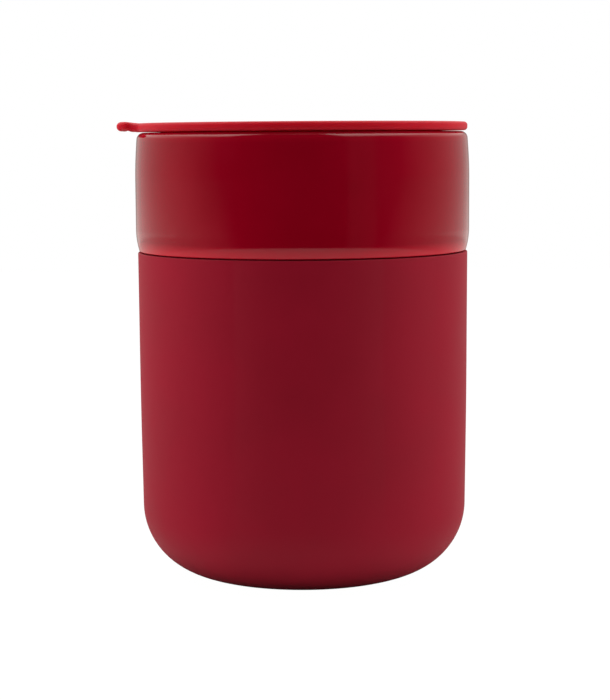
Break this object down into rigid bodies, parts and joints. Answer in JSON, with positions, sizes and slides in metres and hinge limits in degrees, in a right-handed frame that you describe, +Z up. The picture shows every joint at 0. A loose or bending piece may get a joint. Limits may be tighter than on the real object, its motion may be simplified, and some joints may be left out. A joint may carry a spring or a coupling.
{
  "type": "lidded travel mug",
  "caption": "Handleless travel mug: a glazed ceramic cup standing in a silicone sleeve, closed by a flat press-in lid with a pull tab, a sip opening and a sealing ring.",
  "frame": {"origin": "centre of the flat standing face under the sleeve", "axes": "+Z up along the mug's axis, -X towards the lid's pull tab, +X towards its sip opening"},
  "size_m": [0.0945, 0.09, 0.1223],
  "materials": {
    "sleeve_silicone": "matte moulded silicone with a soft-touch surface",
    "red_glaze": "smooth high-gloss glaze",
    "lid_plastic": "satin moulded plastic with a fine texture",
    "seal_silicone": "smooth silicone"
  },
  "bodies": {
    "sleeve": {"silicone_sleeve": "sleeve_silicone"},
    "cup": {"ceramic_cup": "red_glaze"},
    "seal": {"lid_seal": "seal_silicone"},
    "lid": {"lid": "lid_plastic"}
  },
  "joints": [
    {"name": "cup_lift", "type": "slide", "parent": "sleeve", "child": "cup", "axis": [0, 0, 1], "range_m": [0, 0.1]},
    {"name": "lid_lift", "type": "slide", "parent": "cup", "child": "seal", "axis": [0, 0, 1], "range_m": [0, 0.06]},
    {"name": "lid_turn", "type": "hinge", "parent": "seal", "child": "lid", "pos_m": [0, 0, 0.1196], "axis": [0, 0, 1], "continuous": true}
  ]
}
